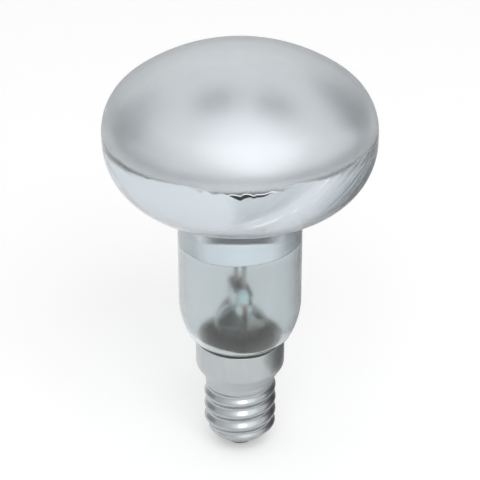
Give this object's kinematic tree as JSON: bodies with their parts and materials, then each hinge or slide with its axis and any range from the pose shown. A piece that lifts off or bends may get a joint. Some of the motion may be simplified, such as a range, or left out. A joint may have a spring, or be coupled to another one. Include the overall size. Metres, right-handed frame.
{
  "type": "reflector bulb",
  "caption": "Reflector bulb with a mirrored bowl, a frosted crown, a clear neck that shows the glass stem, and a small screw cap.",
  "frame": {"origin": "lowest point of the contact solder, on the axis", "axes": "+Z along the bulb's axis from the contact to the crown, -Y towards the picture's viewer, +X to the viewer's right"},
  "size_m": [0.05, 0.05, 0.0827],
  "materials": {
    "bulb_glass": "clear neck and bowl, satin frosted crown",
    "mirror_film": "bright metal film",
    "clear_glass": "clear",
    "copper_wire": "dull copper",
    "nickel_wire": "drawn wire",
    "support_metal": "drawn wire",
    "tungsten": "dark coil",
    "cap_metal": "bright rolled sheet",
    "cement": "baked cement",
    "black_glass": "black pressed glass",
    "contact_brass": "pressed brass",
    "solder": "dull solder"
  },
  "bodies": {
    "root": {"glass_envelope": "bulb_glass", "reflector_film": "mirror_film", "glass_stem": "clear_glass", "exhaust_tube": "clear_glass", "contact_seal_wire": "copper_wire", "shell_seal_wire": "copper_wire", "contact_inner_lead": "nickel_wire", "shell_inner_lead": "nickel_wire", "contact_outer_lead": "copper_wire", "shell_outer_lead": "copper_wire", "contact_side_support": "support_metal", "shell_side_support": "support_metal", "filament": "tungsten", "cap_shell": "cap_metal", "capping_cement": "cement", "insulator": "black_glass", "centre_contact": "contact_brass", "contact_solder": "solder", "side_solder": "solder"}
  },
  "joints": []
}
